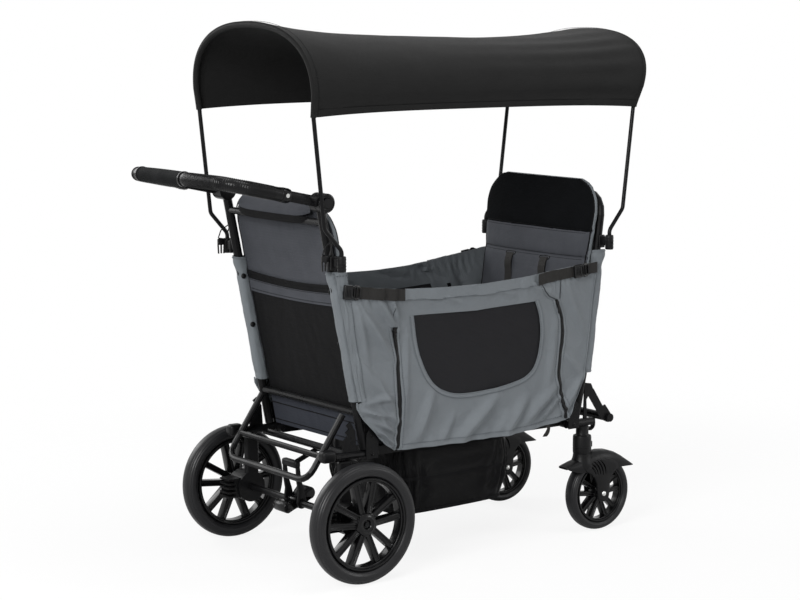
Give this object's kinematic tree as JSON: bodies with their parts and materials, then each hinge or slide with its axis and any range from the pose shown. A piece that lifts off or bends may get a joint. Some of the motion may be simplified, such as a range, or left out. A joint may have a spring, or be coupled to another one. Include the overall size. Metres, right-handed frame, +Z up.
{
  "type": "double stroller",
  "caption": "Folding double stroller with two facing seats, cloth sides with mesh windows, an arched canopy, push handle, swivel front wheels and a storage bag under the floor.",
  "frame": {"origin": "on the floor under the middle of the object's bounding box", "axes": "+X towards the front wheels, +Y to the left of someone who pushes, +Z up"},
  "size_m": [1.317, 0.6494, 1.3604],
  "materials": {
    "frame_tube": "black powder coat, satin",
    "canopy_rod": "black powder coat on thin steel rod",
    "black_plastic": "moulded black nylon, fine grain",
    "rim_plastic": "glossy black",
    "tyre": "black foam-filled tyre with fine ribs",
    "handle_foam": "black ribbed foam",
    "bright_steel": "bright steel",
    "slate_cloth": "slate grey woven polyester",
    "seat_cloth": "dark grey woven polyester",
    "black_cloth": "black woven polyester",
    "mesh_cloth": "black open mesh",
    "floor_board": "dark grey covered board"
  },
  "bodies": {
    "rear_frame": {"rear_upright_frame": "frame_tube", "rear_chassis_frame": "frame_tube", "lever_block_left": "black_plastic", "lever_block_right": "black_plastic", "rear_axle_beam": "frame_tube", "rear_axle_carrier_left": "black_plastic", "rear_axle_carrier_right": "black_plastic", "axle_clamp": "black_plastic", "axle_brace": "frame_tube", "rear_seat_back": "seat_cloth", "rear_wall": "black_cloth", "side_wall_left": "slate_cloth", "side_wall_right": "slate_cloth", "side_window_left": "mesh_cloth", "side_window_right": "mesh_cloth", "rear_canopy_clip_left": "black_plastic", "rear_canopy_clip_right": "black_plastic", "storage_bag": "mesh_cloth"},
    "handle_arms": {"handle_arm_left": "frame_tube", "handle_arm_right": "frame_tube"},
    "handle_grip": {"handle_grip_tube": "frame_tube", "handle_foam": "handle_foam"},
    "hub_button_left": {"hub_button_left": "black_plastic"},
    "hub_button_right": {"hub_button_right": "black_plastic"},
    "snap_button_left": {"handle_snap_button_left": "bright_steel"},
    "snap_button_right": {"handle_snap_button_right": "bright_steel"},
    "rear_release": {"rear_release_bar": "frame_tube"},
    "front_release": {"front_release_bar": "frame_tube"},
    "brake_pedal": {"brake_pedal": "black_plastic"},
    "rear_wheel_left": {"rear_wheel_tyre_left": "tyre", "rear_wheel_rim_left": "rim_plastic"},
    "rear_wheel_right": {"rear_wheel_tyre_right": "tyre", "rear_wheel_rim_right": "rim_plastic"},
    "rear_floor": {"rear_floor_frame": "frame_tube", "rear_floor_board": "floor_board"},
    "front_floor": {"front_floor_frame": "frame_tube", "front_floor_board": "floor_board"},
    "front_frame": {"front_upright_frame": "frame_tube", "front_chassis_frame": "frame_tube", "front_seat_back": "seat_cloth", "front_wall": "black_cloth", "front_canopy_clip_left": "black_plastic", "front_canopy_clip_right": "black_plastic"},
    "rear_seat_base": {"rear_seat_base": "seat_cloth"},
    "front_seat_base": {"front_seat_base": "seat_cloth"},
    "caster_left": {"caster_fork_left": "black_plastic"},
    "caster_right": {"caster_fork_right": "black_plastic"},
    "front_wheel_left": {"front_wheel_tyre_left": "tyre", "front_wheel_rim_left": "rim_plastic"},
    "front_wheel_right": {"front_wheel_tyre_right": "tyre", "front_wheel_rim_right": "rim_plastic"},
    "swivel_lock_left": {"swivel_lock_left": "black_plastic"},
    "swivel_lock_right": {"swivel_lock_right": "black_plastic"},
    "rear_bow": {"rear_bow": "canopy_rod", "canopy_cloth": "black_cloth"},
    "front_bow": {"front_bow": "canopy_rod"}
  },
  "joints": [
    {"name": "fold_rear", "type": "hinge", "parent": "rear_frame", "child": "rear_floor", "pos_m": [-0.2239, 0, 0.3], "axis": [0, -1, 0], "range_deg": [0, 72], "deforming": ["side_wall_left", "side_wall_right", "side_window_left", "side_window_right", "storage_bag", "canopy_cloth"]},
    {"name": "fold_centre", "type": "hinge", "parent": "rear_floor", "child": "front_floor", "pos_m": [0.0996, 0, 0.3], "axis": [0, 1, 0], "range_deg": [0, 144]},
    {"name": "fold_front", "type": "hinge", "parent": "front_floor", "child": "front_frame", "pos_m": [0.4231, 0, 0.3], "axis": [0, -1, 0], "range_deg": [0, 72]},
    {"name": "rear_seat_fold", "type": "hinge", "parent": "rear_frame", "child": "rear_seat_base", "pos_m": [-0.2169, 0, 0.497], "axis": [0, -1, 0], "range_deg": [0, 84]},
    {"name": "front_seat_fold", "type": "hinge", "parent": "front_frame", "child": "front_seat_base", "pos_m": [0.4161, 0, 0.497], "axis": [0, 1, 0], "range_deg": [0, 84]},
    {"name": "handle_tilt", "type": "hinge", "parent": "rear_frame", "child": "handle_arms", "pos_m": [-0.3739, 0, 0.93], "axis": [0, 1, 0], "range_deg": [-60, 45]},
    {"name": "handle_extend", "type": "slide", "parent": "handle_arms", "child": "handle_grip", "axis": [-0.9781, 0, 0.2079], "range_m": [0, 0.06]},
    {"name": "rear_release", "type": "hinge", "parent": "rear_frame", "child": "rear_release", "pos_m": [-0.3549, 0, 0.302], "axis": [0, -1, 0], "range_deg": [0, 12], "stiffness_Nm_per_rad": 2, "springref_deg": -17.19},
    {"name": "front_release", "type": "hinge", "parent": "front_frame", "child": "front_release", "pos_m": [0.4861, 0, 0.39], "axis": [0, -1, 0], "range_deg": [0, 20], "stiffness_Nm_per_rad": 1.5, "springref_deg": -17.19},
    {"name": "brake_pedal", "type": "hinge", "parent": "rear_frame", "child": "brake_pedal", "pos_m": [-0.3089, 0, 0.15], "axis": [0, -1, 0], "range_deg": [0, 20]},
    {"name": "canopy_lift", "type": "slide", "parent": "rear_frame", "child": "rear_bow", "axis": [0, 0, 1], "range_m": [0, 0.034]},
    {"name": "canopy_lift_front", "type": "slide", "parent": "front_frame", "child": "front_bow", "axis": [0, 0, 1], "range_m": [0, 0.034]},
    {"name": "rear_wheel_spin_left", "type": "hinge", "parent": "rear_frame", "child": "rear_wheel_left", "pos_m": [-0.3089, 0.3, 0.15], "axis": [0, 1, 0], "continuous": true},
    {"name": "caster_swivel_left", "type": "hinge", "parent": "front_frame", "child": "caster_left", "pos_m": [0.4721, 0.206, 0.2], "axis": [0, 0, 1], "continuous": true},
    {"name": "front_wheel_spin_left", "type": "hinge", "parent": "caster_left", "child": "front_wheel_left", "pos_m": [0.5261, 0.206, 0.101], "axis": [0, 1, 0], "continuous": true},
    {"name": "swivel_lock_left", "type": "slide", "parent": "front_frame", "child": "swivel_lock_left", "axis": [0, 0, -1], "range_m": [0, 0.006]},
    {"name": "hub_button_left", "type": "slide", "parent": "handle_arms", "child": "hub_button_left", "axis": [0, -1, 0], "range_m": [0, 0.004], "stiffness_N_per_m": 400, "springref_m": -0.004},
    {"name": "snap_button_left", "type": "slide", "parent": "handle_grip", "child": "snap_button_left", "axis": [0, -1, 0], "range_m": [0, 0.0015], "stiffness_N_per_m": 400, "springref_m": -0.004},
    {"name": "rear_wheel_spin_right", "type": "hinge", "parent": "rear_frame", "child": "rear_wheel_right", "pos_m": [-0.3089, -0.3, 0.15], "axis": [0, 1, 0], "continuous": true},
    {"name": "caster_swivel_right", "type": "hinge", "parent": "front_frame", "child": "caster_right", "pos_m": [0.4721, -0.206, 0.2], "axis": [0, 0, 1], "continuous": true},
    {"name": "front_wheel_spin_right", "type": "hinge", "parent": "caster_right", "child": "front_wheel_right", "pos_m": [0.5261, -0.206, 0.101], "axis": [0, 1, 0], "continuous": true},
    {"name": "swivel_lock_right", "type": "slide", "parent": "front_frame", "child": "swivel_lock_right", "axis": [0, 0, -1], "range_m": [0, 0.006]},
    {"name": "hub_button_right", "type": "slide", "parent": "handle_arms", "child": "hub_button_right", "axis": [0, 1, 0], "range_m": [0, 0.004], "stiffness_N_per_m": 400, "springref_m": -0.004},
    {"name": "snap_button_right", "type": "slide", "parent": "handle_grip", "child": "snap_button_right", "axis": [0, 1, 0], "range_m": [0, 0.0015], "stiffness_N_per_m": 400, "springref_m": -0.004}
  ],
  "couplings": [
    {"joint": "fold_centre", "follows": "fold_rear", "ratio": 2},
    {"joint": "fold_front", "follows": "fold_rear", "ratio": 1},
    {"joint": "rear_seat_fold", "follows": "fold_rear", "ratio": 1.1666},
    {"joint": "front_seat_fold", "follows": "fold_rear", "ratio": 1.1666},
    {"joint": "canopy_lift_front", "follows": "canopy_lift", "ratio": 1}
  ]
}
